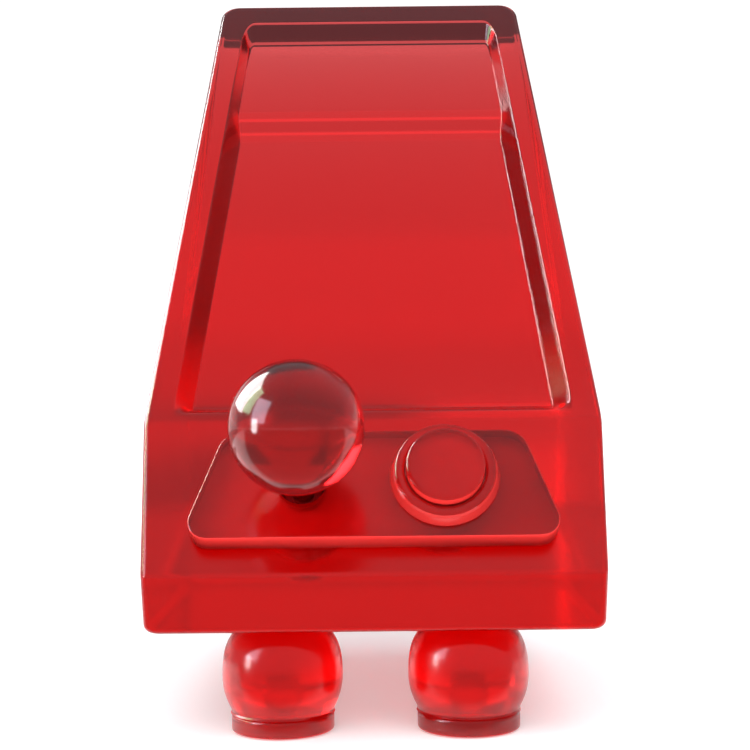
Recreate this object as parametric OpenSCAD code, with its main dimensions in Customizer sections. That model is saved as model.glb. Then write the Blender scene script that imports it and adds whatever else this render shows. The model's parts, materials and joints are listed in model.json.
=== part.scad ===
// Clear red console on bulb feet, with a ball-top stick and a push button on a sloping deck.
// Millimetres. The front faces -Y, +Z is up, and Z = 0 is the plane the feet stand on.

/* [Body] */
// Width where the deck meets the panel, the widest place
body_w = 131; // [126:1:140]
// Width at the underside
base_w = 125; // [116:1:126]
// Width at the top
top_w = 105; // [96:1:116]
// Height of the casting above its underside
body_h = 202; // [190:1:215]
// Height of the upright front face
front_h = 16; // [14:0.5:22]
// Length of the deck along its slope
deck_len = 47; // [46:0.5:54]
// Lean of the deck back from upright, degrees
deck_lean = 30; // [26:0.5:34]
// Lean of the panel back from upright, degrees
panel_lean = 38; // [34:0.5:40]
// Depth of the flat top
top_d = 13; // [10:0.5:24]

/* [Recess] */
// Rim beside the recess, at its lower end
rim_low = 8; // [6:0.5:11]
// Rim beside the recess, at its upper end
rim_high = 9; // [7:0.5:12]
// Rim over the recess, measured along the panel
rim_top = 9; // [7:0.5:14]
// Depth of the upper floor
recess_upper = 5; // [3:0.5:6]
// Depth of the lower floor
recess_lower = 9; // [7:0.5:11]
// Length of the shallow upper part, from the middle of the step to the top edge of the panel
shallow_len = 55.3; // [40:0.1:70]

/* [Control panel] */
// Width at the front edge
pad_front_w = 104.5; // [99:0.5:108]
// Width at the back edge
pad_back_w = 82.5; // [81:0.5:90]
// Length along the deck
pad_len = 32; // [30:0.5:34]
// Thickness
pad_t = 7.5; // [6:0.5:9]
// Deck left free in front of the pad
pad_margin = 7.5; // [6:0.5:10]

/* [Stick and button] */
// Distance of each control from the middle
control_x = 19.5; // [18.5:0.25:21]
// Diameter of the ball
ball_d = 35; // [32:0.5:36]
// Height of the ball's centre above the pad
ball_rise = 31.5; // [30:0.5:36]
// Diameter of the stick's shaft
shaft_d = 6; // [5:0.25:6.5]
// Tilt of the stick each way, degrees
stick_tilt = 10; // [6:0.5:10]
// Diameter of the button's ring
bezel_d = 30; // [28:0.5:31]
// Height of the button's ring
bezel_h = 5; // [5:0.25:7]
// Diameter of the button's cap
cap_d = 21.5; // [18:0.5:22]
// Height of the cap above its ring
cap_rise = 3.5; // [3.5:0.25:5]
// Travel of the button
press = 3; // [2:0.25:3]

/* [Feet] */
// Height of each foot
foot_h = 30; // [28:0.5:31]
// Diameter of the bulb
bulb_d = 34; // [33:0.5:36]
// Diameter of the ring under the bulb
ring_d = 29; // [28:0.5:31]
// Height of the ring under the bulb
ring_h = 5; // [4:0.5:6]
// Middle of the front feet from the body's widest side
front_foot_side = 39.3; // [34:0.1:43]
// Middle of the rear feet from the body's widest side
rear_foot_side = 32.75; // [28:0.25:42]
// Front feet behind the front face
front_foot_in = 20; // [17.5:0.5:21]
// Rear feet before the back
rear_foot_in = 25; // [19:0.5:35]

/* [Hidden] */
// Clearance round a piece that is fitted to its neighbour
fit = 0.05;
// Running clearance on a pin
running = 0.04;
// Room between moving pieces that must not touch
air = 0.35;
// Longer than any size of the part, for cuts
far = 600;
round_fn = 64;
pin_r = 1.25;

deck_y = deck_len * sin(deck_lean);
deck_z = front_h + deck_len * cos(deck_lean);
panel_len = (body_h - deck_z) / cos(panel_lean);
panel_top_y = deck_y + panel_len * sin(panel_lean);
body_d = panel_top_y + top_d;

// Radii of the body's edges, from the sharpest to the bend of the side walls
front_edge = 2;
base_edge = 3;
brow_edge = 4;
top_edge = 5;
bend_r = 12;
shoulder_r = 40;

front_foot_x = body_w / 2 - front_foot_side;
rear_foot_x = body_w / 2 - rear_foot_side;
pad_mid = pad_margin + pad_len / 2 + 0.5;
shaft_r = shaft_d / 2;
ball_r = ball_d / 2;
ball_w = pad_t + ball_rise;
ball_y = pad_mid * sin(deck_lean) - ball_w * cos(deck_lean);
front_y = -(body_d + ball_y - ball_r) / 2;

// The stick turns on two crossed pins, this far under the deck
pivot_w = -5;
swing = acos(cos(stick_tilt) * cos(stick_tilt));
hole_r = (pad_t - pivot_w) * tan(swing) + shaft_r / cos(swing) + air + 0.2;
hub_r = 5.4;
hub_h = 5;
hub_low = 4;
ring_in = 6.6;
ring_out = 9.4;
cup_in = 10.6;
cup_out = 12;
flange_u = 30;
flange_v = 24;
flange_t = 9;
housing_h = 28;
floor_t = 3;
seat_t = 2;
cup_t = 1.5;
clip_t = 0.9;
shaft_low = pivot_w - hub_low - cup_t - clip_t - 1.6;
screw_u = 12;
screw_v = 9;
screw_r = 1.25;
screw_in = 3.5;
screw_head_r = 2.2;
screw_head_h = 1.6;
stick_wire = 1;
stick_coil_r = 5;
stick_turns = 5;

bezel_r = bezel_d / 2;
cap_r = cap_d / 2;
bore_r = cap_r + air;
sleeve_out = 10.3;
sleeve_in = 8.5;
sleeve_low = -12;
bezel_floor = pad_t + 1.2;
cap_top = pad_t + bezel_h + cap_rise;
cap_low = bezel_floor + press + 0.2;
base_t = 3;
stem_r = 4;
stem_low = sleeve_low - 3;
nut_r = 12.2;
nut_t = 4;
button_clip_r = 6;
button_wire = 0.9;
button_coil_r = 6.2;
button_turns = 6;

well_gap = 0.6;
button_well_r = nut_r + well_gap;
button_well_h = -stem_low + press + 2;

dowel_r = 1.5;
dowel_half = 4;
stud_r = 3;
stud_low = ring_h + 6;
stud_up = 11;
spigot_r = 5;
spigot_h = 4;
bulb_r = bulb_d / 2;
bulb_z = foot_h / 2;
groove_r = sqrt(pow(bulb_r, 2) - pow(bulb_z - ring_h, 2));

// Points round a corner b between its neighbours a and c
function unit(p) = p / norm(p);
function corner(a, b, c, r, steps) =
    let (u = unit(a - b), v = unit(c - b), half = acos(u * v) / 2)
    let (middle = b + unit(u + v) * r / sin(half))
    let (from = b + u * r / tan(half) - middle, to = b + v * r / tan(half) - middle)
    let (start = atan2(from.y, from.x), raw = atan2(to.y, to.x) - start)
    let (sweep = raw > 180 ? raw - 360 : raw < -180 ? raw + 360 : raw)
    [for (i = [0:steps]) middle + r * [cos(start + sweep * i / steps), sin(start + sweep * i / steps)]];

// Outline with every corner rounded: corners are [x, y, radius]
function rounded(corners, steps = 6) =
    let (n = len(corners), xy = [for (p = corners) [p.x, p.y]])
    [for (i = [0:n - 1]) each corner(xy[(i + n - 1) % n], xy[i], xy[(i + 1) % n], corners[i][2], steps)];

// Places along the deck: x to the right, y up the slope, z out of the deck
module on_deck(x = 0, y = 0, z = 0) {
    translate([0, front_y, foot_h + front_h])
        rotate([90 - deck_lean, 0, 0])
            translate([x, y, z])
                children();
}

module on_panel() {
    translate([0, front_y + deck_y, foot_h + deck_z])
        rotate([90 - panel_lean, 0, 0])
            children();
}

module rod(r, low, high) {
    translate([0, 0, low])
        cylinder(r = r, h = high - low, $fn = round_fn);
}

module tube(inner, outer, low, high) {
    difference() {
        rod(outer, low, high);
        rod(inner, low - 1, high + 1);
    }
}

module cross_rod_x(r, from, to) {
    rotate([0, 90, 0])
        rod(r, from, to);
}

module cross_rod_y(r, from, to) {
    rotate([-90, 0, 0])
        rod(r, from, to);
}

// Coil of round wire between two heights, with straight ends one wire long
module coil(r, wire, turns, low, high) {
    per_turn = 8;
    sides = 6;
    steps = turns * per_turn;
    pitch = (high - low - wire) / turns;
    echo(coil_gap = pitch - wire);
    slope = atan(pitch / (2 * PI * r));
    angles = [0, each [for (i = [0:steps]) i * 360 / per_turn], turns * 360];
    run = [-wire, each [for (i = [0:steps]) 0], wire];
    rings = len(angles);
    points = [for (k = [0:rings - 1]) each
        let (a = angles[k], out = [cos(a), sin(a), 0], side = [-sin(a), cos(a), 0])
        let (along = side * cos(slope) + [0, 0, sin(slope)], across = [0, 0, cos(slope)] - side * sin(slope))
        let (rise = low + wire / 2 + pitch * a / 360, flat = [run[k] * along.x, run[k] * along.y, 0])
        let (centre = r * out + [0, 0, rise] + flat)
        [for (s = [0:sides - 1]) centre + wire / 2 * (out * cos(s * 360 / sides) + across * sin(s * 360 / sides))]];
    first = [for (s = [1:sides - 2]) [0, s, s + 1]];
    end = (rings - 1) * sides;
    last = [for (s = [1:sides - 2]) [end, end + s + 1, end + s]];
    skin = [for (k = [0:rings - 2], s = [0:sides - 1], half = [0, 1])
        let (a = k * sides + s, b = k * sides + (s + 1) % sides)
        half == 0 ? [a, a + sides, b] : [b, a + sides, b + sides]];
    polyhedron(points, concat(first, last, skin));
}

module body_form() {
    side = rounded([[0, 0, front_edge], [0, front_h, front_edge], [deck_y, deck_z, bend_r],
        [panel_top_y, body_h, brow_edge], [body_d, body_h, top_edge], [body_d, 0, base_edge]]);
    front = rounded([[-base_w / 2, 0, base_edge], [base_w / 2, 0, base_edge], [body_w / 2, deck_z, shoulder_r],
        [top_w / 2, body_h, top_edge], [-top_w / 2, body_h, top_edge], [-body_w / 2, deck_z, shoulder_r]]);
    translate([0, front_y, foot_h])
        intersection() {
            rotate([90, 0, 90])
                translate([0, 0, -far / 2])
                    linear_extrude(far)
                        polygon(side);
            rotate([90, 0, 0])
                translate([0, 0, -far / 2])
                    linear_extrude(far)
                        polygon(front);
        }
}

// Everything inside one sloping side wall of the recess
module inside_wall() {
    low_half = body_w / 2 - rim_low;
    high_half = top_w / 2 - rim_high;
    closing = (low_half - high_half) / panel_len;
    draft = 0.48;
    wall_turn = atan(closing);
    wall_lean = asin(draft / norm([1, closing, draft]));
    translate([low_half, 0, 0])
        rotate([0, wall_lean, wall_turn])
            translate([-far, -far / 2, -far / 2])
                cube(far);
}

module recess() {
    low_v = 2.5;
    high_v = panel_len - rim_top;
    step_v = panel_len - shallow_len;
    ramp = 2 * (recess_lower - recess_upper);
    above = 30;
    end_slope = 0.5;
    top_slope = 0.85;
    shape = [[low_v - end_slope * above, above], [low_v + end_slope * recess_lower, -recess_lower],
        [step_v - ramp / 2, -recess_lower], [step_v + ramp / 2, -recess_upper],
        [high_v - top_slope * recess_upper, -recess_upper], [high_v + top_slope * above, above]];
    on_panel()
        intersection() {
            rotate([90, 0, 90])
                translate([0, 0, -far / 2])
                    linear_extrude(far)
                        polygon(shape);
            inside_wall();
            mirror([1, 0, 0])
                inside_wall();
        }
}

module at_each_foot() {
    for (side = [-1, 1]) {
        translate([side * front_foot_x, front_y + front_foot_in, 0])
            children();
        translate([side * rear_foot_x, front_y + body_d - rear_foot_in, 0])
            children();
    }
}

module at_each_dowel() {
    for (side = [-1, 1]) {
        on_deck(side * (pad_front_w / 2 - 5.5), pad_margin + 4.5)
            children();
        on_deck(side * (pad_back_w / 2 - 2.6), pad_margin + pad_len - 4.5)
            children();
    }
}

module at_stick() {
    on_deck(-control_x, pad_mid)
        children();
}

module at_button() {
    on_deck(control_x, pad_mid)
        children();
}

module cabinet_body() {
    color([0.75, 0.03, 0.04, 0.6])
        difference() {
            body_form();
            recess();
            at_stick() {
                translate([-flange_u / 2 - well_gap, -flange_v / 2 - well_gap, -flange_t - screw_head_h - well_gap])
                    cube([flange_u + 2 * well_gap, flange_v + 2 * well_gap, far]);
                rod(cup_out + well_gap, -housing_h - well_gap, 1);
            }
            at_button()
                rod(button_well_r, -button_well_h, far);
            at_each_dowel()
                rod(dowel_r + fit, -dowel_half - fit, 1);
            at_each_foot()
                rod(stud_r + fit, foot_h - 1, foot_h + stud_up + 0.5);
        }
}

module control_panel() {
    back = pad_margin + pad_len;
    outline = rounded([[-pad_front_w / 2, pad_margin, 5], [pad_front_w / 2, pad_margin, 5],
        [pad_back_w / 2, back, 7], [-pad_back_w / 2, back, 7]]);
    color([0.62, 0.02, 0.03, 0.7])
        difference() {
            on_deck()
                linear_extrude(pad_t)
                    polygon(outline);
            at_stick() {
                rod(hole_r, -1, pad_t + 1);
                for (u = [-screw_u, screw_u], v = [-screw_v, screw_v])
                    translate([u, v, 0])
                        rod(screw_r + fit, -1, screw_in + fit);
            }
            at_button()
                rod(sleeve_out + fit, -1, pad_t + 1);
            at_each_dowel()
                rod(dowel_r + fit, -1, dowel_half + fit);
        }
}

module panel_dowels() {
    color([0.8, 0.8, 0.82])
        at_each_dowel()
            rod(dowel_r, -dowel_half, dowel_half);
}

module joystick_housing() {
    color([0.12, 0.12, 0.13])
        at_stick()
            difference() {
                union() {
                    translate([-flange_u / 2, -flange_v / 2, -flange_t])
                        cube([flange_u, flange_v, flange_t]);
                    rod(cup_out, -housing_h, -1);
                }
                rod(cup_in, -housing_h + floor_t, 1);
                translate([0, 0, pivot_w])
                    cross_rod_x(pin_r + fit, -flange_u, flange_u);
                for (u = [-screw_u, screw_u], v = [-screw_v, screw_v])
                    translate([u, v, 0])
                        rod(screw_r + fit, -flange_t - 1, 1);
            }
}

module housing_screws() {
    color([0.7, 0.7, 0.72])
        at_stick()
            for (u = [-screw_u, screw_u], v = [-screw_v, screw_v])
                translate([u, v, 0]) {
                    rod(screw_r, -flange_t - 0.5, screw_in);
                    rod(screw_head_r, -flange_t - screw_head_h, -flange_t);
                }
}

module gimbal_pins() {
    color([0.7, 0.7, 0.72])
        at_stick()
            translate([0, 0, pivot_w])
                for (turn = [0, 180])
                    rotate([0, 0, turn])
                        cross_rod_x(pin_r, ring_in + 0.4, flange_u / 2 - 0.5);
}

module gimbal_ring() {
    color([0.5, 0.04, 0.05])
        at_stick()
            translate([0, 0, pivot_w])
                difference() {
                    tube(ring_in, ring_out, -hub_h / 2, hub_h / 2);
                    cross_rod_x(pin_r + running, -far, far);
                    cross_rod_y(pin_r + fit, -far, far);
                }
}

module hub_pin() {
    color([0.7, 0.7, 0.72])
        at_stick()
            translate([0, 0, pivot_w])
                cross_rod_y(pin_r, -ring_out + 0.4, ring_out - 0.4);
}

module joystick_hub() {
    color([0.5, 0.04, 0.05])
        at_stick()
            translate([0, 0, pivot_w])
                difference() {
                    tube(shaft_r + fit, hub_r, -hub_low, hub_h / 2);
                    cross_rod_y(pin_r + running, -far, far);
                }
}

module joystick_shaft() {
    color([0.78, 0.78, 0.8])
        at_stick()
            difference() {
                rod(shaft_r, shaft_low, ball_w);
                translate([0, 0, pivot_w])
                    cross_rod_y(pin_r + running, -far, far);
            }
}

module spring_cup() {
    top = pivot_w - hub_low;
    color([0.12, 0.12, 0.13])
        at_stick()
            tube(shaft_r + fit, stick_coil_r + 1.5, top - cup_t, top);
}

module shaft_clip() {
    top = pivot_w - hub_low - cup_t;
    color([0.3, 0.3, 0.32])
        at_stick()
            tube(shaft_r + fit, shaft_r + 1, top - clip_t, top);
}

module spring_seat() {
    low = -housing_h + floor_t;
    color([0.12, 0.12, 0.13])
        at_stick()
            tube(2, stick_coil_r + 2.5, low, low + seat_t);
}

module centring_spring() {
    color([0.8, 0.8, 0.82])
        at_stick()
            coil(stick_coil_r, stick_wire, stick_turns, -housing_h + floor_t + seat_t + 0.1,
                pivot_w - hub_low - cup_t - 0.1);
}

module lock_nut() {
    high = ball_w - ball_r - 0.2;
    color([0.78, 0.78, 0.8])
        at_stick()
            difference() {
                translate([0, 0, high - 3])
                    cylinder(r = shaft_r + 2.4, h = 3, $fn = 6);
                rod(shaft_r + fit, high - 4, high + 1);
            }
}

module joystick_ball() {
    color([0.7, 0.02, 0.03, 0.6])
        at_stick()
            difference() {
                translate([0, 0, ball_w])
                    sphere(r = ball_r, $fn = 96);
                rod(shaft_r + fit, ball_w - ball_r - 1, ball_w + fit);
            }
}

module button_bezel() {
    color([0.75, 0.03, 0.04, 0.6])
        at_button()
            difference() {
                union() {
                    rod(bezel_r, pad_t, pad_t + bezel_h);
                    rod(sleeve_out, sleeve_low, pad_t + 1);
                }
                rod(bore_r, bezel_floor, far);
                rod(sleeve_in, sleeve_low - 1, far);
            }
}

module button_ring_nut() {
    color([0.12, 0.12, 0.13])
        at_button()
            tube(sleeve_out + fit, nut_r, -nut_t, 0);
}

module button_base() {
    color([0.12, 0.12, 0.13])
        at_button()
            tube(stem_r + running, sleeve_in - fit, sleeve_low, sleeve_low + base_t);
}

module button_plunger() {
    color([0.75, 0.03, 0.04, 0.6])
        at_button() {
            rod(cap_r, cap_low, cap_top);
            rod(stem_r, stem_low, cap_low + 1);
        }
}

module button_clip() {
    color([0.3, 0.3, 0.32])
        at_button()
            tube(stem_r + fit, button_clip_r, sleeve_low - 1.1, sleeve_low - 0.1);
}

module button_spring() {
    color([0.8, 0.8, 0.82])
        at_button()
            coil(button_coil_r, button_wire, button_turns, sleeve_low + base_t + 0.1, cap_low - 0.1);
}

module bulb() {
    color([0.75, 0.03, 0.04, 0.6])
        difference() {
            intersection() {
                translate([0, 0, bulb_z])
                    sphere(r = bulb_r, $fn = 96);
                rod(bulb_d, ring_h, foot_h);
            }
            rod(spigot_r + fit, ring_h - 1, ring_h + spigot_h + fit);
            rod(stud_r + fit, stud_low, foot_h + 1);
        }
}

module base_ring() {
    edge = 1;
    color([0.7, 0.03, 0.04, 0.6])
        union() {
            rotate_extrude($fn = 96)
                polygon(concat([[0, 0], [ring_d / 2 - edge / 2, 0], [ring_d / 2, edge / 2]],
                    [for (a = [0:15:90]) [ring_d / 2 - edge + edge * cos(a), ring_h - edge + edge * sin(a)]],
                    [[0, ring_h]]));
            rod(spigot_r, ring_h - 1, ring_h + spigot_h);
        }
}

module at_front_foot(side) {
    translate([side * front_foot_x, front_y + front_foot_in, 0])
        children();
}

module at_rear_foot(side) {
    translate([side * rear_foot_x, front_y + body_d - rear_foot_in, 0])
        children();
}

module front_left_foot() { at_front_foot(-1) bulb(); }
module front_right_foot() { at_front_foot(1) bulb(); }
module rear_left_foot() { at_rear_foot(-1) bulb(); }
module rear_right_foot() { at_rear_foot(1) bulb(); }
module front_left_base() { at_front_foot(-1) base_ring(); }
module front_right_base() { at_front_foot(1) base_ring(); }
module rear_left_base() { at_rear_foot(-1) base_ring(); }
module rear_right_base() { at_rear_foot(1) base_ring(); }

module foot_studs() {
    color([0.8, 0.8, 0.82])
        at_each_foot()
            rod(stud_r, stud_low + 0.5, foot_h + stud_up);
}

cabinet_body();
control_panel();
panel_dowels();
joystick_housing();
housing_screws();
gimbal_pins();
spring_seat();
centring_spring();
button_bezel();
button_ring_nut();
button_base();
button_spring();
front_left_foot();
front_right_foot();
rear_left_foot();
rear_right_foot();
front_left_base();
front_right_base();
rear_left_base();
rear_right_base();
foot_studs();
gimbal_ring();
hub_pin();
joystick_shaft();
joystick_hub();
spring_cup();
shaft_clip();
lock_nut();
joystick_ball();
button_plunger();
button_clip();
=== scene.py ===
"""Looks of the clear red console: castings with eased edges and their resin, the works under the pad,
the room and the camera."""

import json
import math

import bmesh
import bpy
from mathutils import Matrix, Vector


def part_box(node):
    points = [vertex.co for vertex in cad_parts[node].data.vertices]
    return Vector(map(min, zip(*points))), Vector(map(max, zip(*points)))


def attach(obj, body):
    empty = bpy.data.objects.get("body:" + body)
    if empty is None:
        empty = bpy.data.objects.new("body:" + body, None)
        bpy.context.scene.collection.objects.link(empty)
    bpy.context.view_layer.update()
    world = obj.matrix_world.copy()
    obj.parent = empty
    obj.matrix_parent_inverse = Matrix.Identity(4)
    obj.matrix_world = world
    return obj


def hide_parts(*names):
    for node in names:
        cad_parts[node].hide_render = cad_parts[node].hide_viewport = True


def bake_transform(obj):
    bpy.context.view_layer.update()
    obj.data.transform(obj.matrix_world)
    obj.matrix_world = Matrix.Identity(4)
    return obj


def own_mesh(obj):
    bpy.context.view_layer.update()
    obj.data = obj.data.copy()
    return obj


MM = 0.001
FEET = ("front_left", "front_right", "rear_left", "rear_right")

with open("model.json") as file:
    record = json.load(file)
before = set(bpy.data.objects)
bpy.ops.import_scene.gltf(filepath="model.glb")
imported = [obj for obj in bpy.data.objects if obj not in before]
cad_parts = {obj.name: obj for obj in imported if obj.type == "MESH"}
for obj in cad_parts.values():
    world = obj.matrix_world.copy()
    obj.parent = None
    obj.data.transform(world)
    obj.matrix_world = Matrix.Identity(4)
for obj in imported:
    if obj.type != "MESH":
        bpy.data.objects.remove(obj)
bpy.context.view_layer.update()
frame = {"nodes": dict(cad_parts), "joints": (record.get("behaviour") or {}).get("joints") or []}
nodes = frame["nodes"]
joints = {joint["name"]: joint for joint in frame["joints"]}

body_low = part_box("cabinet_body")[0]
front_y = body_low.y
underside = body_low.z

# The deck's own axes, read from the joints: up the slope, and out of the deck.
deck_up = Vector(joints["stick_side"]["axis"]).normalized()
deck_out = -Vector(joints["button_press"]["axis"]).normalized()
pivot = Vector(joints["stick_fore_aft"]["pos_m"])


def middle(node):
    low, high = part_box(node)
    return (low + high) / 2


def reach(node, axis):
    """Lowest and highest point of a CAD node along an axis, in metres from the frame's origin."""
    along = [vertex.co.dot(axis) for vertex in nodes[node].data.vertices]
    return min(along), max(along)


def half_width(node):
    low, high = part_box(node)
    return (high.x - low.x) / 2


def collect(name, data):
    """Object in the scene that shows a mesh, a lamp or a camera."""
    thing = bpy.data.objects.new(name, data)
    bpy.context.scene.collection.objects.link(thing)
    return thing


def made(name, shape):
    """Object made of a shape, which is used up."""
    mesh = bpy.data.meshes.new(name)
    shape.to_mesh(mesh)
    shape.free()
    return collect(name, mesh)


def stand_for(piece, body, *names):
    """The piece rides on the body and is shown in place of these nodes."""
    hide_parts(*names)
    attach(piece, body)


# Materials

RESIN_IOR = 1.49
RESIN_PASSES = (0.995, 0.03, 0.05, 1)
LACQUER_ROUGH = 0.07
ROUGH_BELOW, SMOOTH_ABOVE = 0.086, 0.112
NOISE_LOW, NOISE_HIGH = 0.3, 0.7
CAST_SCALE, CAST_DETAIL, CAST_SPREAD = 55.0, 2.0, 0.2
FINISH_DETAIL, FINISH_SPREAD = 4.0, 0.3
CAST_WAVE, EVEN_WAVE, COAT_WAVE = 0.03 * MM, 0.01 * MM, 0.02 * MM


def shader(name):
    material = bpy.data.materials.new(name)
    material.use_nodes = True
    return material, material.node_tree, material.node_tree.nodes["Principled BSDF"]


def set_inputs(node, values):
    for name, value in values.items():
        node.inputs[name].default_value = value


def feed(tree, socket, term):
    """Gives a socket a number or another node's output."""
    if isinstance(term, (int, float)):
        socket.default_value = term
    else:
        tree.links.new(term, socket)


def add_sum(tree, operation, first, second=0):
    """Adds a sum to a node tree; each term is a number or another node's output."""
    node = tree.nodes.new("ShaderNodeMath")
    node.operation = operation
    feed(tree, node.inputs[0], first)
    feed(tree, node.inputs[1], second)
    return node.outputs["Value"]


def add_ramp(tree, value, start, stop, low, high, kind="SMOOTHSTEP"):
    """Low up to start and high from stop on, with a ramp of this kind between them."""
    node = tree.nodes.new("ShaderNodeMapRange")
    node.interpolation_type = kind
    terms = {"Value": value, "From Min": start, "From Max": stop, "To Min": low, "To Max": high}
    for name, term in terms.items():
        feed(tree, node.inputs[name], term)
    return node.outputs["Result"]


def fade(tree, value, start, stop):
    """One below start, zero above stop."""
    return add_ramp(tree, value, start, stop, 1.0, 0.0)


def add_split(tree, kind):
    """Coordinates of a kind, split in X, Y and Z."""
    place = tree.nodes.new("ShaderNodeTexCoord")
    parts = tree.nodes.new("ShaderNodeSeparateXYZ")
    tree.links.new(place.outputs[kind], parts.inputs["Vector"])
    return parts.outputs


def add_bump(tree, principled, scale, distance, detail):
    """Slow unevenness of a poured or turned surface. Distance is in metres."""
    place = tree.nodes.new("ShaderNodeTexCoord")
    noise = tree.nodes.new("ShaderNodeTexNoise")
    bump = tree.nodes.new("ShaderNodeBump")
    set_inputs(noise, {"Scale": scale, "Detail": detail})
    set_inputs(bump, {"Strength": 1.0, "Distance": distance})
    tree.links.new(place.outputs["Object"], noise.inputs["Vector"])
    tree.links.new(noise.outputs["Fac"], bump.inputs["Height"])
    tree.links.new(bump.outputs["Normal"], principled.inputs["Normal"])
    return noise


def vary(tree, noise, value, share):
    """A number that wanders with the noise, by this share of its value each way."""
    low, high = value * (1 - share), value * (1 + share)
    return add_ramp(tree, noise.outputs["Fac"], NOISE_LOW, NOISE_HIGH, low, high, "LINEAR")


def resin(name, tint, rough, wave, absorb, lacquer=0.0, lower_rough=None):
    """Clear cast resin: red light passes, and the rest is taken up on the way. Lacquer is the share of a thin
    coat over it. Where lower_rough is given, the casting is that rough below the bend."""
    material, tree, principled = shader(name)
    set_inputs(principled, {
        "Base Color": (*tint, 1),
        "Transmission Weight": 1.0,
        "IOR": RESIN_IOR,
        "Coat Weight": lacquer,
        "Coat IOR": RESIN_IOR,
        "Coat Roughness": LACQUER_ROUGH,
    })
    noise = add_bump(tree, principled, CAST_SCALE, wave, CAST_DETAIL)
    polish = vary(tree, noise, rough, CAST_SPREAD)
    if lower_rough:
        rise = add_split(tree, "Object")["Z"]
        polish = add_ramp(tree, rise, ROUGH_BELOW, SMOOTH_ABOVE, lower_rough, polish)
    feed(tree, principled.inputs["Roughness"], polish)
    volume = tree.nodes.new("ShaderNodeVolumeAbsorption")
    set_inputs(volume, {"Color": RESIN_PASSES, "Density": absorb})
    tree.links.new(volume.outputs["Volume"], tree.nodes["Material Output"].inputs["Volume"])
    return material


def solid(name, colour, rough, metal, scale, wave):
    """Opaque surface whose gloss wanders a little."""
    material, tree, principled = shader(name)
    set_inputs(principled, {"Base Color": (*colour, 1), "Metallic": metal})
    noise = add_bump(tree, principled, scale, wave, FINISH_DETAIL)
    feed(tree, principled.inputs["Roughness"], vary(tree, noise, rough, FINISH_SPREAD))
    return material


def bare_metal(name, colour, rough, scale):
    return solid(name, colour, rough, metal=1.0, scale=scale, wave=EVEN_WAVE)


def paint(name, colour, rough, scale, wave):
    return solid(name, colour, rough, metal=0.0, scale=scale, wave=wave)


BODY_RESIN = resin("body_resin", (0.66, 0.2, 0.2), rough=0.06, wave=CAST_WAVE, absorb=60, lower_rough=0.19)
PAD_RESIN = resin("pad_resin", (1.0, 0.12, 0.12), rough=0.12, wave=CAST_WAVE, absorb=60, lacquer=0.1)
BALL_RESIN = resin("ball_resin", (0.62, 0.03, 0.035), rough=0.14, wave=EVEN_WAVE, absorb=30, lacquer=0.2)
FOOT_RESIN = resin("foot_resin", (0.86, 0.02, 0.02), rough=0.2, wave=CAST_WAVE, absorb=90)
RED_COAT = paint("red_coat", (1.0, 0.06, 0.06), rough=0.5, scale=300.0, wave=COAT_WAVE)
STEEL = bare_metal("turned_steel", (0.62, 0.62, 0.64), rough=0.3, scale=900.0)
WIRE = bare_metal("spring_wire", (0.66, 0.66, 0.68), rough=0.25, scale=1200.0)
RED_ALLOY = bare_metal("red_alloy", (0.35, 0.015, 0.02), rough=0.35, scale=900.0)
NYLON = paint("black_nylon", (0.02, 0.02, 0.022), rough=0.4, scale=600.0, wave=COAT_WAVE)
RED_EDGE = paint("red_edge", (0.9, 0.045, 0.04), rough=0.18, scale=120.0, wave=EVEN_WAVE)
# A darker copy of the edge finish, for the button ring alone: painted shade, because the floor's glow lights
# the ring's walls more than those of the pad.
SHADED_RING_EDGE = paint("ring_edge_painted_shade", (0.66, 0.033, 0.03), rough=0.18, scale=120.0, wave=EVEN_WAVE)
CLEAR, COATED, EDGE = 0, 1, 2


def dress(piece, *materials):
    held = piece.data.materials
    for place, material in enumerate(materials):
        if place < len(held):
            held[place] = material
        else:
            held.append(material)


# Castings with eased edges, copied from the CAD forms or turned to their sizes

EASED_OVER = math.radians(24)
FLAT_WITHIN = math.radians(0.5)
LATHE_SHARP, BODY_SHARP = math.radians(35), math.radians(40)
EASE_STEPS = 4
JOIN_WITHIN, LATHE_JOIN, ON_AXIS = 0.002 * MM, 0.0005 * MM, 0.001 * MM
FINE_STEPS, BALL_STEPS, ROD_STEPS = 128, 192, 48

# Slack of the tests of place, and the gap between pieces that are bonded.
SKIN = 0.05 * MM


def joined(node):
    """The CAD form with its vertices joined."""
    shape = bmesh.new()
    shape.from_mesh(nodes[node].data)
    bmesh.ops.remove_doubles(shape, verts=shape.verts, dist=JOIN_WITHIN)
    shape.normal_update()
    return shape


def even_normals(piece):
    even = piece.modifiers.new("even", "WEIGHTED_NORMAL")
    even.keep_sharp = True


def ease(shape, name, width, weigh):
    """Makes an object of the shape, with each sharp edge rounded by its weight times the width."""
    bmesh.ops.dissolve_limit(shape, angle_limit=FLAT_WITHIN, verts=shape.verts, edges=shape.edges,
                             delimit={"MATERIAL"})
    everything = shape.verts[:] + shape.edges[:] + shape.faces[:]
    bmesh.ops.bisect_plane(shape, geom=everything, plane_co=(0, 0, 0), plane_no=(1, 0, 0))
    weight = shape.edges.layers.float.new("bevel_weight_edge")
    for edge in shape.edges:
        if len(edge.link_faces) == 2 and edge.calc_face_angle() > EASED_OVER:
            edge[weight] = weigh((edge.verts[0].co + edge.verts[1].co) / 2)
    piece = made(name, shape)
    piece.data.shade_smooth()
    bevel = piece.modifiers.new("edges", "BEVEL")
    bevel.limit_method = "WEIGHT"
    bevel.width = width
    bevel.segments = EASE_STEPS
    bevel.use_clamp_overlap = False
    even_normals(piece)
    return piece


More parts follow.
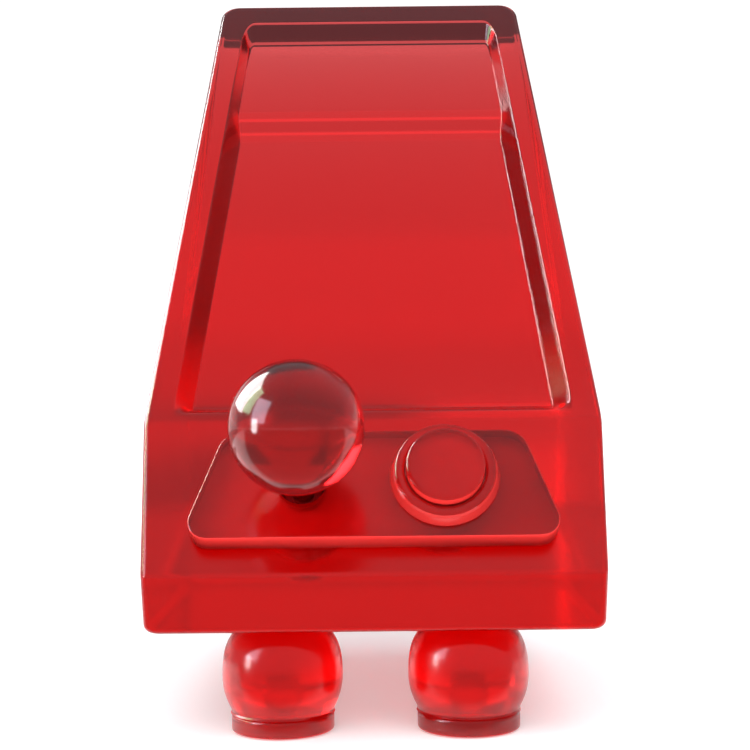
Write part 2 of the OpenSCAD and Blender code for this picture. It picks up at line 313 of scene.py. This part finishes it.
def turn(shape, profile, place, coated=(), edged=(), steps=FINE_STEPS):
    """Adds a turned form to a shape: profile is (radius, height). Coated lists its stretches with the red
    coat, and edged those with the edge finish."""
    rows = []
    for radius, height in profile:
        count = steps if radius > ON_AXIS else 1
        angles = [2 * math.pi * step / count for step in range(count)]
        ring = [place @ Vector((radius * math.cos(a), radius * math.sin(a), height)) for a in angles]
        rows.append([shape.verts.new(point) for point in ring])
    for stretch, (lower, upper) in enumerate(zip(rows, rows[1:])):
        for step in range(steps):
            after = step + 1
            corners = [lower[step % len(lower)], lower[after % len(lower)],
                       upper[after % len(upper)], upper[step % len(upper)]]
            corners = list(dict.fromkeys(corners))
            if len(corners) > 2:
                face = shape.faces.new(corners)
                face.material_index = COATED if stretch in coated else EDGE if stretch in edged else CLEAR


def lathe(name, foot, axis, *turned, steps=FINE_STEPS):
    """Object made of turned forms on one axis; each is a profile, its coated stretches and its edged ones."""
    shape = bmesh.new()
    place = Matrix.Translation(foot) @ axis.to_track_quat("Z", "Y").to_matrix().to_4x4()
    for profile, *finish in turned:
        turn(shape, profile, place, *finish, steps=steps)
    bmesh.ops.remove_doubles(shape, verts=shape.verts, dist=LATHE_JOIN)
    bmesh.ops.recalc_face_normals(shape, faces=shape.faces)
    piece = made(name, shape)
    piece.data.shade_smooth()
    piece.data.set_sharp_from_angle(angle=LATHE_SHARP)
    return piece


def arc(centre, radius, start, stop, steps=8):
    """Points of an arc in the (radius, height) plane, angles in degrees from the radius axis."""
    turns = [math.radians(start + (stop - start) * step / steps) for step in range(steps + 1)]
    return [(centre[0] + radius * math.cos(t), centre[1] + radius * math.sin(t)) for t in turns]


# Body: clear casting, built in level rings to the CAD's sizes, with every edge eased

BODY_W, BASE_W, TOP_W = 131 * MM, 125 * MM, 105 * MM
BODY_H, BODY_D = 202 * MM, 150.018 * MM
KICK_H, DECK_LEN, TOP_D = 16 * MM, 47 * MM, 13 * MM
DECK_LEAN, PANEL_LEAN = math.radians(30), math.radians(38)

# Radii of the corners seen from the side, of those seen from the front, and of the upright edges.
BASE_FRONT_R, KICK_R, BEND_R = 2 * MM, 2.5 * MM, 14 * MM
TOP_FRONT_R, TOP_BACK_R, BASE_BACK_R = 0.7 * MM, 3 * MM, MM
BASE_SIDE_R, BEND_SIDE_R, TOP_SIDE_R = 3 * MM, 40 * MM, 5 * MM
EDGE_R = 2.2 * MM
CORNER_STEPS = 10

# Recess: its rims and depths, the place of its step, and how far its walls lean and are rounded.
RIM_LOW, RIM_HIGH, RIM_TOP = 8 * MM, 9 * MM, 9 * MM
DEEP, SHALLOW, STEP_AT = 9 * MM, 5 * MM, 0.7
STEP_RAMP, BROW_BEND, WALL_FOOT_BEND = 6 * MM, 0.22, 0.08
FOOT_LOW, FOOT_HIGH = 1.8 * MM, 12 * MM
TOP_WALL, BROW_ABOVE, CORNER_ROUND = 6.8 * MM, 0.8 * MM, 1.4
BROW_OUT, WALL_LEAN, WALL_MORE, FLOOR_EDGE = 0.4 * MM, 0.35, 0.8 * MM, 2 * MM

# Points in each stretch of a ring.
FLOOR_POINTS, WALL_POINTS, RIM_POINTS = 10, 24, 4
SIDE_POINTS, BACK_POINTS, EDGE_POINTS = 8, 12, 6

deck_top_y = DECK_LEN * math.sin(DECK_LEAN)
deck_top_z = KICK_H + DECK_LEN * math.cos(DECK_LEAN)
panel_len = (BODY_H - deck_top_z) / math.cos(PANEL_LEAN)
panel_in = Vector((0, math.cos(PANEL_LEAN), -math.sin(PANEL_LEAN)))


def eased(corners):
    """Outline with every corner rounded. Corners are (across, up, radius) in metres."""
    points = []
    for place, (across, rise, radius) in enumerate(corners):
        spot = Vector((across, rise))
        before = (Vector(corners[place - 1][:2]) - spot).normalized()
        after = (Vector(corners[(place + 1) % len(corners)][:2]) - spot).normalized()
        half = before.angle(after) / 2
        centre = spot + (before + after).normalized() * radius / math.sin(half)
        first = spot + before * radius / math.tan(half) - centre
        last = spot + after * radius / math.tan(half) - centre
        sweep = math.remainder(math.atan2(last.y, last.x) - math.atan2(first.y, first.x), 2 * math.pi)
        for step in range(CORNER_STEPS + 1):
            turn_by = sweep * step / CORNER_STEPS
            points.append((centre.x + first.x * math.cos(turn_by) - first.y * math.sin(turn_by),
                           centre.y + first.x * math.sin(turn_by) + first.y * math.cos(turn_by)))
    return points


def across_at(chain, rise):
    """Where a rising outline is at a height."""
    for (low_across, low), (high_across, high) in zip(chain, chain[1:]):
        if low <= rise <= high and high > low:
            return low_across + (high_across - low_across) * (rise - low) / (high - low)
    return chain[0][0] if rise <= chain[0][1] else chain[-1][0]


side_outline = eased([(0, 0, BASE_FRONT_R), (0, KICK_H, KICK_R), (deck_top_y, deck_top_z, BEND_R),
                      (BODY_D - TOP_D, BODY_H, TOP_FRONT_R), (BODY_D, BODY_H, TOP_BACK_R),
                      (BODY_D, 0, BASE_BACK_R)])
right_corners = [(BASE_W / 2, 0, BASE_SIDE_R), (BODY_W / 2, deck_top_z, BEND_SIDE_R),
                 (TOP_W / 2, BODY_H, TOP_SIDE_R)]
left_corners = [(-across, rise, radius) for across, rise, radius in reversed(right_corners)]
corner_points = CORNER_STEPS + 1
front_chain = side_outline[:4 * corner_points]
back_chain = side_outline[:3 * corner_points:-1]
width_chain = eased(right_corners + left_corners)[:3 * corner_points]


def slope(value, start, stop, bend=0.5, last_bend=0.5):
    """Rises from 0 to 1 between start and stop, straight but for a bend at each end, given as a share."""
    part = min(max((value - start) / (stop - start), 0), 1)
    steep = 1 / (1 - (bend + last_bend) / 2)
    if part < bend:
        return steep * part * part / (2 * bend)
    if part > 1 - last_bend:
        return 1 - steep * (1 - part) ** 2 / (2 * last_bend)
    return steep * (part - bend / 2)


def recess_floor(along):
    """Depth of the recess's floor at a place up the panel: deep, then shallow above its step."""
    step = panel_len * STEP_AT
    return DEEP + (SHALLOW - DEEP) * slope(along, step - STEP_RAMP, step + STEP_RAMP)


def recess_depth(along, from_side):
    """Depth at a place up the panel, and at a share of the way down the side wall from its brow."""
    from_top = (panel_len - RIM_TOP + BROW_ABOVE - along) / TOP_WALL
    down = min(from_side, from_top)
    if from_side < CORNER_ROUND and from_top < CORNER_ROUND:
        down = CORNER_ROUND - math.hypot(CORNER_ROUND - from_side, CORNER_ROUND - from_top)
    opening = slope(along, FOOT_LOW, FOOT_HIGH)
    return recess_floor(along) * opening * slope(down, 0, 1, BROW_BEND, WALL_FOOT_BEND)


def spread(first, last, count):
    """Evenly spread values from first on; last itself is left out."""
    return [first + (last - first) * step / count for step in range(count)]


def body_ring(rise):
    """One level ring of the body, from the left front corner round by the right."""
    half = across_at(width_chain, rise)
    near, back = across_at(front_chain, rise), across_at(back_chain, rise)
    along = (rise - deck_top_z) / math.cos(PANEL_LEAN)
    part = min(max(along / panel_len, 0), 1)
    wall = (BODY_W / 2 - RIM_LOW) * (1 - part) + (TOP_W / 2 - RIM_HIGH) * part
    wall_out = wall + BROW_OUT
    wall_in = wall - WALL_LEAN * recess_floor(along) - WALL_MORE
    flat = half - EDGE_R
    foot = wall_in - FLOOR_EDGE
    right = spread(0, foot, FLOOR_POINTS) + spread(foot, wall_out, WALL_POINTS)
    right += spread(wall_out, flat, RIM_POINTS) + [flat]
    ring = []
    for x in [-value for value in reversed(right[1:])] + right:
        sunk = recess_depth(along, (wall_out - abs(x)) / (wall_out - wall_in))
        ring.append(Vector((x, near, rise)) + panel_in * sunk)
    quarter = [math.pi / 2 * step / EDGE_POINTS for step in range(1, EDGE_POINTS + 1)]
    early = [angle - math.pi / 2 / EDGE_POINTS for angle in quarter]
    first, last = near + EDGE_R, back - EDGE_R
    ring += [Vector((flat + EDGE_R * math.sin(a), first - EDGE_R * math.cos(a), rise)) for a in quarter]
    ring += [Vector((half, y, rise)) for y in spread(first, last, SIDE_POINTS)[1:]]
    ring += [Vector((flat + EDGE_R * math.cos(a), last + EDGE_R * math.sin(a), rise)) for a in early]
    ring += [Vector((x, back, rise)) for x in spread(flat, -flat, BACK_POINTS)]
    ring += [Vector((-flat - EDGE_R * math.sin(a), last + EDGE_R * math.cos(a), rise))
             for a in [0] + quarter]
    ring += [Vector((-half, y, rise)) for y in spread(last, first, SIDE_POINTS)[1:]]
    ring += [Vector((-flat - EDGE_R * math.cos(a), first - EDGE_R * math.sin(a), rise)) for a in early]
    return [point + Vector((0, front_y, underside)) for point in ring]


# Heights of the rings, closest where the outline turns. Each band is (from, to, number of rings), and those
# up the panel are in mm along it.
BAND = 3 * MM
BASE_LEVELS, TOP_LEVELS = 8, 14
LOWER_BANDS = ((BAND, KICK_H - BAND, 4), (KICK_H - BAND, KICK_H + BAND, 14),
               (KICK_H + BAND, deck_top_z - BAND, 12), (deck_top_z - BAND, deck_top_z, 6))
PANEL_BANDS = ((0, 1.5, 4), (1.5, 12.5, 24), (12.5, 110, 26), (110, 142, 24), (142, 165, 8), (165, 178, 24))
levels = [BAND * (1 - math.cos(math.pi / 2 * step / BASE_LEVELS)) for step in range(BASE_LEVELS)]
for start, stop, count in LOWER_BANDS:
    levels += spread(start, stop, count)
for start, stop, count in PANEL_BANDS:
    levels += [deck_top_z + along * math.cos(PANEL_LEAN) for along in spread(start * MM, stop * MM, count)]
top_start = deck_top_z + PANEL_BANDS[-1][1] * MM * math.cos(PANEL_LEAN)
for step in range(TOP_LEVELS + 1):
    levels.append(top_start + (BODY_H - top_start) * math.sin(math.pi / 2 * step / TOP_LEVELS))

casting = bmesh.new()
rings = [[casting.verts.new(point) for point in body_ring(rise)] for rise in levels]
for lower, upper in zip(rings, rings[1:]):
    for place in range(len(lower)):
        casting.faces.new((lower[place - 1], lower[place], upper[place], upper[place - 1]))
ends = [casting.faces.new(reversed(rings[0])), casting.faces.new(rings[-1])]
bmesh.ops.poke(casting, faces=ends)
body = made("body_casting", casting)
dress(body, BODY_RESIN, RED_COAT)

# The wells under the pad are the CAD's, and are coated red so that the works don't show. The level ends of
# the stud sockets reach in under the pad, and are not part of them.

LEVEL = 0.95
WELL_DEPTH, MOUTH_ABOVE = 45 * MM, MM
pad_low_v, pad_high_v = reach("control_panel", deck_up)
deck_w, pad_top_w = reach("control_panel", deck_out)
pad_half = half_width("control_panel")


def in_well(point):
    under_pad = pad_low_v < point.dot(deck_up) < pad_high_v and abs(point.x) < pad_half
    return under_pad and deck_w - WELL_DEPTH < point.dot(deck_out) < deck_w + SKIN


def well_face(face):
    lowest = min(vertex.co.dot(deck_out) for vertex in face.verts)
    inside = all(in_well(vertex.co) for vertex in face.verts)
    return inside and abs(face.normal.z) <= LEVEL and lowest <= deck_w - SKIN


wells = joined("cabinet_body")
outside = [face for face in wells.faces if not well_face(face)]
bmesh.ops.delete(wells, geom=outside, context="FACES")
mouths = [edge for edge in wells.edges if edge.is_boundary]
for vertex in {vertex for edge in mouths for vertex in edge.verts}:
    vertex.co += deck_out * MOUTH_ABOVE
bmesh.ops.holes_fill(wells, edges=mouths, sides=0)
bmesh.ops.recalc_face_normals(wells, faces=wells.faces)
for face in wells.faces:
    face.material_index = COATED
cutter = made("wells", wells)
dress(cutter, BODY_RESIN, RED_COAT)
cut = body.modifiers.new("wells", "BOOLEAN")
cut.operation = "DIFFERENCE"
cut.solver = "EXACT"
cut.material_mode = "INDEX"
cut.object = cutter
bpy.context.view_layer.update()
solved = body.evaluated_get(bpy.context.evaluated_depsgraph_get())
body.data = bpy.data.meshes.new_from_object(solved)
body.modifiers.clear()
bpy.data.objects.remove(cutter)
body.data.shade_smooth()
body.data.set_sharp_from_angle(angle=BODY_SHARP)
even_normals(body)
stand_for(body, "cabinet", "cabinet_body", "foot_studs")

# Pad: its underside is coated as well, and its outer walls have the edge finish. The blind holes for its
# fasteners are left out, as they would show through it.

HOLE_REACH, PAD_BEVEL, STEEP = 13 * MM, 0.5 * MM, 0.5
button_axis = middle("button_bezel")


def off_axis(point, axis_point):
    return (point - axis_point).cross(deck_out).length


def near_hole(point):
    return min(off_axis(point, pivot), off_axis(point, button_axis)) < HOLE_REACH


def weigh_pad(place):
    on_top = place.dot(deck_out) > pad_top_w - SKIN
    return 1.0 if on_top and not near_hole(place) else 0.0


plate = joined("control_panel")
for vertex in plate.verts:
    height = vertex.co.dot(deck_out)
    if deck_w + SKIN < height < pad_top_w - SKIN:
        vertex.co -= deck_out * (height - deck_w)
bmesh.ops.remove_doubles(plate, verts=plate.verts, dist=JOIN_WITHIN)
plate.normal_update()
for face in plate.faces:
    facing = face.normal.dot(deck_out)
    under_top = max(vertex.co.dot(deck_out) for vertex in face.verts) < pad_top_w - SKIN
    if under_top or (near_hole(face.calc_center_median()) and facing < STEEP):
        face.material_index = COATED
    elif abs(facing) < STEEP:
        face.material_index = EDGE
for vertex in plate.verts:
    if vertex.co.dot(deck_out) < deck_w + SKIN:
        vertex.co += deck_out * SKIN
pad = ease(plate, "pad_casting", PAD_BEVEL, weigh_pad)
dress(pad, PAD_RESIN, RED_COAT, RED_EDGE)
stand_for(pad, "cabinet", "control_panel")

# Stick: ball and rod are bonded, so no bore shows in the ball

BALL_ROWS = 96
ball_middle = middle("joystick_ball")
ball_r = half_width("joystick_ball")
ball_profile = arc((0, 0), ball_r, -90, 90, BALL_ROWS)
ball = lathe("stick_ball", ball_middle, deck_out, (ball_profile, ()), steps=BALL_STEPS)
dress(ball, BALL_RESIN)
stand_for(ball, "stick", "joystick_ball")

rod_r = half_width("joystick_shaft")
rod_low = reach("joystick_shaft", deck_out)[0] - ball_middle.dot(deck_out)
rod_high = -math.sqrt(ball_r**2 - rod_r**2) - SKIN
rod_profile = [(0, rod_low), (rod_r, rod_low), (rod_r, rod_high), (0, rod_high)]
rod = lathe("stick_rod", ball_middle, deck_out, (rod_profile, ()), steps=ROD_STEPS)
dress(rod, PAD_RESIN)
stand_for(rod, "stick", "joystick_shaft")
dress(nodes["lock_nut"], RED_EDGE)

# Button: a ring on its sleeve, with a thin clear layer over the edge finish, and the cap on its stem. On the
# ring the edge finish is painted darker as shade, because the floor's glow lights the ring's walls more than
# the pad's.

SLEEVE_R, SLEEVE_IN, STEM_R = 10.3 * MM, 8.5 * MM, 4 * MM
CAP_GAP, CAP_ROOM, RING_FLOOR = 0.35 * MM, 3.2 * MM, 1.2 * MM
SHOULDER_R, TAPER, BORE_EDGE = 1.0 * MM, 1.2 * MM, 0.8 * MM
CLEAR_LAYER = 1.6 * MM
RING_FOOT_IN, RING_FOOT_H = 0.2 * MM, 0.3 * MM
CAP_EDGE, CAP_FOOT = 1.1 * MM, 0.4 * MM

bezel_r = half_width("button_bezel")
cap_r = half_width("button_plunger")
bore_r = cap_r + CAP_GAP
sleeve_low, bezel_top = [height - pad_top_w for height in reach("button_bezel", deck_out)]
stem_low, cap_high = [height - pad_top_w for height in reach("button_plunger", deck_out)]
button_foot = button_axis + deck_out * (pad_top_w - button_axis.dot(deck_out))

layer_h = bezel_top - CLEAR_LAYER
layer_r = bezel_r - TAPER * layer_h / bezel_top
sleeve_profile = [(SLEEVE_IN, sleeve_low), (SLEEVE_R, sleeve_low), (SLEEVE_R, -SKIN), (SLEEVE_IN, -SKIN),
                  (SLEEVE_IN, sleeve_low)]
ring_profile = [(SLEEVE_IN, SKIN), (bezel_r - RING_FOOT_IN, SKIN), (bezel_r, SKIN + RING_FOOT_H),
                (layer_r, layer_h), (bore_r, layer_h), (bore_r, RING_FLOOR), (SLEEVE_IN, RING_FLOOR),
                (SLEEVE_IN, SKIN)]
layer_profile = ([(bore_r, layer_h + SKIN), (layer_r, layer_h + SKIN)]
                 + arc((bezel_r - TAPER - SHOULDER_R, bezel_top - SHOULDER_R), SHOULDER_R, 15, 90)
                 + arc((bore_r + BORE_EDGE, bezel_top - BORE_EDGE), BORE_EDGE, 90, 180)
                 + [(bore_r, layer_h + SKIN)])
ring = lathe("button_ring", button_foot, deck_out, (sleeve_profile, range(len(sleeve_profile) - 1)),
             (ring_profile, (), range(len(ring_profile) - 1)), (layer_profile, (0,), (1,)))
dress(ring, PAD_RESIN, RED_COAT, SHADED_RING_EDGE)
stand_for(ring, "cabinet", "button_bezel")

cap_under = RING_FLOOR + CAP_ROOM
stem_profile = [(0, stem_low), (STEM_R, stem_low), (STEM_R, cap_under - SKIN), (0, cap_under - SKIN)]
cap_profile = ([(0, cap_under), (cap_r - CAP_FOOT, cap_under), (cap_r, cap_under + CAP_FOOT)]
               + arc((cap_r - CAP_EDGE, cap_high - CAP_EDGE), CAP_EDGE, 0, 90) + [(0, cap_high)])
cap = lathe("button_cap", button_foot, deck_out, (stem_profile, range(len(stem_profile) - 1)),
            (cap_profile, (0,), (1, 2)))
dress(cap, PAD_RESIN, RED_COAT, RED_EDGE)
stand_for(cap, "button", "button_plunger")

# Feet: bulb and base ring, bonded to each other and to the body

BULB_R, NECK_H = 17 * MM, 1.6 * MM
SHOULDER_POWER, ROUND_POWER = 2.7, 2
BULB_STEPS = 64
NECK_IN, NECK_RISE = 0.35 * MM, 0.5 * MM
BASE_LOW_EDGE, BASE_TOP_EDGE = 0.8 * MM, 1.2 * MM
UP = Vector((0, 0, 1))

base_r = half_width("front_left_base")
base_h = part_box("front_left_foot")[0].z
bulb_z = underside / 2
bulb_low, bulb_high = base_h + NECK_H - bulb_z, underside - SKIN - bulb_z
seat_low = base_h + SKIN


def bulb_half(rise):
    """Radius of the bulb at a height over its middle: round below, with fuller shoulders above."""
    power = SHOULDER_POWER if rise > 0 else ROUND_POWER
    return BULB_R * max(1 - abs(rise / BULB_R) ** power, 0) ** (1 / power)


neck_r = bulb_half(bulb_low)
bulb_rises = spread(bulb_low, bulb_high, BULB_STEPS) + [bulb_high]
bulb_profile = ([(0, seat_low), (neck_r, seat_low), (neck_r - NECK_IN, seat_low + NECK_RISE)]
                + [(bulb_half(rise), bulb_z + rise) for rise in bulb_rises] + [(0, underside - SKIN)])
base_profile = ([(0, 0), (base_r - BASE_LOW_EDGE, 0)]
                + arc((base_r - BASE_LOW_EDGE, BASE_LOW_EDGE), BASE_LOW_EDGE, -90, 0)
                + arc((base_r - BASE_TOP_EDGE, base_h - BASE_TOP_EDGE), BASE_TOP_EDGE, 0, 90) + [(0, base_h)])
for place in FEET:
    spot = middle(place + "_foot")
    stance = Vector((spot.x, spot.y, 0))
    for name, profile, node in ((place + "_bulb", bulb_profile, place + "_foot"),
                                (place + "_ring", base_profile, place + "_base")):
        turned = lathe(name, stance, UP, (profile, (0, len(profile) - 2)))
        dress(turned, FOOT_RESIN, RED_COAT)
        stand_for(turned, "cabinet", node)

# Works under the pad. The fasteners end just below it.

for material, names in ((STEEL, ("gimbal_pins", "hub_pin", "shaft_clip", "button_clip")),
                        (RED_ALLOY, ("gimbal_ring", "joystick_hub")),
                        (NYLON, ("joystick_housing", "spring_seat", "button_ring_nut", "button_base",
                                 "spring_cup"))):
    for node in names:
        dress(nodes[node], material)
for name, node in (("short_dowels", "panel_dowels"), ("short_screws", "housing_screws")):
    fasteners = collect(name, nodes[node].data.copy())
    for vertex in fasteners.data.vertices:
        vertex.co -= deck_out * max(vertex.co.dot(deck_out) - deck_w + SKIN, 0)
    dress(fasteners, STEEL)
    stand_for(fasteners, "cabinet", node)


def giving_coil(name, node):
    """A copy of the CAD's spring in place of it, with the ends of its axis."""
    coil = collect(name, nodes[node].data.copy())
    dress(coil, WIRE)
    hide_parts(node)
    centre = middle(node)
    ends = [centre + deck_out * (end - centre.dot(deck_out)) for end in reach(node, deck_out)]
    return coil, *ends


return_coil, coil_low, coil_high = giving_coil("return_coil", "button_spring")
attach(return_coil, "cabinet")
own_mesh(return_coil)

# The centring coil is wider than the CAD's and a little shorter, so that the tilted stick clears it.
COIL_WIDER, COIL_SHORTER = 0.3, 0.1
centring_coil, coil_low, coil_high = giving_coil("centring_coil", "centring_spring")
for vertex in centring_coil.data.vertices:
    out = vertex.co - pivot - deck_out * (vertex.co - pivot).dot(deck_out)
    vertex.co += out * COIL_WIDER - deck_out * (vertex.co - coil_low).dot(deck_out) * COIL_SHORTER
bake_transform(centring_coil)


# Room. The wall behind is white up to a little above the object; the rest is dimmer.

ROOM = (0.5, 0.49, 0.52, 1)
HAZE = (1.1, 1.1, 1.1, 1)
HAZE_SIDE, HAZE_TOP, HAZE_BACK = (0.24, 0.28), (0.27, 0.45), (-0.2, 0.0)

world = bpy.data.worlds.new("room")
bpy.context.scene.world = world
world.use_nodes = True
sky = world.node_tree
heading = add_split(sky, "Generated")
sideways = fade(sky, add_sum(sky, "ABSOLUTE", heading["X"]), *HAZE_SIDE)
upward = fade(sky, heading["Z"], *HAZE_TOP)
behind = fade(sky, add_sum(sky, "MULTIPLY", heading["Y"], -1), *HAZE_BACK)
white_part = add_sum(sky, "MULTIPLY", add_sum(sky, "MULTIPLY", sideways, upward), behind)
mixed = sky.nodes.new("ShaderNodeMix")
mixed.data_type = "RGBA"
mixed.inputs["A"].default_value = ROOM
mixed.inputs["B"].default_value = HAZE
sky.links.new(white_part, mixed.inputs["Factor"])
sky.links.new(mixed.outputs["Result"], sky.nodes["Background"].inputs["Color"])

FLOOR_HALF, FLOOR_DROP, FLOOR_GLOW = 12.0, 0.3 * MM, 0.3
floor_shape = bmesh.new()
bmesh.ops.create_grid(floor_shape, x_segments=1, y_segments=1, size=FLOOR_HALF)
floor = made("floor", floor_shape)
floor.location.z = -FLOOR_DROP
floor_paper = paint("floor_paper", (0.9, 0.9, 0.9), rough=0.7, scale=40.0, wave=COAT_WAVE)
set_inputs(floor_paper.node_tree.nodes["Principled BSDF"],
           {"Emission Color": (1, 1, 1, 1), "Emission Strength": FLOOR_GLOW})
dress(floor, floor_paper)


def panel_light(name, place, target, size, power, colour=(1, 1, 1)):
    lamp = bpy.data.lights.new(name, "AREA")
    lamp.shape = "RECTANGLE"
    lamp.size, lamp.size_y = size
    lamp.energy = power
    lamp.color = colour
    light = collect(name, lamp)
    light.location = place
    light.visible_diffuse = False
    light.rotation_euler = (Vector(target) - Vector(place)).to_track_quat("-Z", "Y").to_euler()
    return light


def glow(name, colour, strength, half, soft):
    """Even glow over a sheet of these half sizes, which fades out towards its edges."""
    material, tree, principled = shader(name)
    set_inputs(principled, {
        "Base Color": (0, 0, 0, 1),
        "Specular IOR Level": 0.0,
        "Emission Color": (*colour, 1),
        "Emission Strength": strength,
    })
    place = add_split(tree, "Object")
    masks = []
    for axis, edge in zip("XY", half):
        masks.append(fade(tree, add_sum(tree, "ABSOLUTE", place[axis]), edge - soft, edge))
    tree.links.new(add_sum(tree, "MULTIPLY", *masks), principled.inputs["Alpha"])
    return material


def dim_sheet(name, centre, half, colour, strength, soft, tilt=0.0, turned=0.0):
    """Part of the room that is seen in the resin only, never past the object."""
    shape = bmesh.new()
    bmesh.ops.create_grid(shape, x_segments=1, y_segments=1, size=1.0)
    for vertex in shape.verts:
        vertex.co = Vector((vertex.co.x * half[0], vertex.co.y * half[1], 0))
    sheet = made(name, shape)
    sheet.location = centre
    sheet.rotation_euler = (tilt, 0, turned)
    dress(sheet, glow(name, colour, strength, half, soft))
    sheet.visible_camera = False
    sheet.visible_diffuse = False
    sheet.visible_shadow = False


def standing_sheet(name, y, across, rise, *looks):
    half = ((across[1] - across[0]) / 2, (rise[1] - rise[0]) / 2)
    dim_sheet(name, (sum(across) / 2, y, sum(rise) / 2), half, *looks, tilt=math.radians(90))


def lying_sheet(name, z, across, along, *looks):
    half = ((across[1] - across[0]) / 2, (along[1] - along[0]) / 2)
    dim_sheet(name, (sum(across) / 2, sum(along) / 2, z), half, *looks)


# Dark cards behind the top, with a gap that lights the brow of the recess.
CARD_COLOUR, PAPER_COLOUR, TABLE_COLOUR = (1, 0.9, 1), (1, 0.97, 0.97), (1, 0.95, 0.95)
CARD_Y, CARD_HALF, CARD_INNER, CARD_LOW = 0.155, 0.18, 0.0485, 0.204
CARD_GLOW, CARD_SOFT = 0.14, 0.3 * MM
for name, across, rise in (("low_card", (-CARD_HALF, CARD_HALF), (CARD_LOW, 0.2225)),
                           ("left_card", (-CARD_HALF, -CARD_INNER), (0.2, CARD_LOW)),
                           ("right_card", (CARD_INNER, CARD_HALF), (0.201, CARD_LOW)),
                           ("high_card", (-CARD_HALF, CARD_HALF), (0.236, 0.32))):
    standing_sheet(name, CARD_Y, across, rise, CARD_COLOUR, CARD_GLOW, CARD_SOFT)

# White paper behind the object, dim close to it, with a darker strip just behind the object that is a painted
# shadow of it, the table before it and the wall at the paper's end. Each row gives a sheet's place, its reach
# on both axes, its colour, its glow and how soft its edges are.
ROOM_HALF, PAPER_END, LAYER = 3.0, 1.24, 0.1 * MM
WIDE = (-ROOM_HALF, ROOM_HALF)
for sheet in (("paper", 0, WIDE, (0.24, PAPER_END), PAPER_COLOUR, 0.96, 0.02),
              ("near_paper", LAYER, WIDE, (0.3, 0.6), PAPER_COLOUR, 1.07, 0.08),
              ("dim_paper", 2 * LAYER, WIDE, (0.235, 0.335), PAPER_COLOUR, 0.92, 0.03),
              # The strip just behind the object is a painted shadow of it, seen in the resin.
              ("painted_shadow_strip", 3 * LAYER, (-0.3, 0.035), (0.097, 0.265), TABLE_COLOUR, 0.5, 0.03),
              ("front_table", 0, WIDE, (-ROOM_HALF, -0.05), TABLE_COLOUR, 0.4, 0.016)):
    lying_sheet(*sheet)
for sheet in (("wall", PAPER_END, WIDE, (-0.01, 0.25), PAPER_COLOUR, 1.03, 0.01),
              ("high_wall", PAPER_END, WIDE, (0.23, 0.6), PAPER_COLOUR, 0.92, 0.01),
              ("light_wall", PAPER_END - LAYER, WIDE, (0.17, 0.255), PAPER_COLOUR, 1.4, 0.025)):
    standing_sheet(*sheet)

# The table at both sides of the paper, which widens away from the object.
PAPER_START, PAPER_NEAR, PAPER_FAR = 0.3, 0.113, 0.22
TABLE_GLOW, TABLE_SOFT = 0.38, 0.03
flare = math.atan2(PAPER_FAR - PAPER_NEAR, PAPER_END - PAPER_START)
table_half = (ROOM_HALF / 2, math.hypot(PAPER_FAR - PAPER_NEAR, PAPER_END - PAPER_START) / 2)
for name, side in (("left_table", -1), ("right_table", 1)):
    edge_middle = Vector((side * (PAPER_NEAR + PAPER_FAR) / 2, (PAPER_START + PAPER_END) / 2, 4 * LAYER))
    outward = Vector((side * math.cos(flare), -math.sin(flare), 0))
    dim_sheet(name, edge_middle + outward * table_half[0], table_half, TABLE_COLOUR, TABLE_GLOW, TABLE_SOFT,
              turned=-side * flare)

# Three panes of one window at the left: sky, trees and a curtain.
WHITE, LEAF_GREEN, CURTAIN_BLUE = (1, 1, 1), (0.5, 1, 0.6), (0.85, 0.82, 1)
for name, place, size, power, colour in (
        ("sky_pane", (-0.68, 0.34, 0.58), (0.55, 0.6), 11.0, WHITE),
        ("tree_pane", (-0.76, -0.02, 0.56), (0.3, 0.5), 3.5, LEAF_GREEN),
        ("curtain_pane", (-0.7, -0.4, 0.42), (0.4, 0.5), 4.0, CURTAIN_BLUE)):
    panel_light(name, place, (0, -0.04, 0.1), size, power, colour)

# The first lamp is seen through the resin alone. The lamp in front and the daylight light only the finishes
# and the floor. The low pane is one more gleam from the left.
resin_lamp = panel_light("resin_lamp", (0.25, -0.35, 0.75), target=(0, -0.05, 0.08), size=(0.7, 0.7),
                         power=1.4)
resin_lamp.visible_glossy = False
edge_lamp = panel_light("edge_lamp", (0, -0.6, 0.05), target=(0, -0.06, 0.07), size=(0.3, 0.2), power=0.85)
edge_lamp.visible_diffuse = True
edge_lamp.visible_glossy = False
edge_lamp.visible_transmission = False
panel_light("low_pane", (-0.62, -0.3, 0.12), target=(0, -0.04, 0.05), size=(0.12, 0.2), power=1.2)

DAY_STRENGTH, DAY_SOFT, DAY_TILT = 2.8, math.radians(70), math.radians(35)
day = bpy.data.lights.new("day", "SUN")
day.energy = DAY_STRENGTH
day.angle = DAY_SOFT
daylight = collect("day", day)
daylight.visible_glossy = False
daylight.visible_transmission = False
daylight.rotation_euler.x = DAY_TILT

# Camera

CAMERA_BACK, CAMERA_RISE = 0.407, 0.0694
FOCAL_PX, FRAME_PX, MIDDLE_PX = 1512.0, 750.0, 372.2
SENSOR_MM = 36.0
CLIP_START = 0.01
ROLL = math.radians(0.62)

lens = bpy.data.cameras.new("camera")
lens.sensor_width = SENSOR_MM
lens.lens = SENSOR_MM * FOCAL_PX / FRAME_PX
lens.clip_start = CLIP_START
camera = collect("camera", lens)
aside = (FRAME_PX / 2 - MIDDLE_PX) * CAMERA_BACK / FOCAL_PX
camera.matrix_world = (Matrix.Translation((aside, front_y - CAMERA_BACK, underside + CAMERA_RISE))
                       @ Matrix.Rotation(ROLL, 4, "Y") @ Matrix.Rotation(math.radians(90), 4, "X"))
scene = bpy.context.scene
scene.camera = camera
scene.view_settings.view_transform = "Standard"
scene.cycles.glossy_bounces = 12
scene.cycles.max_bounces = 24
scene.cycles.transmission_bounces = 24
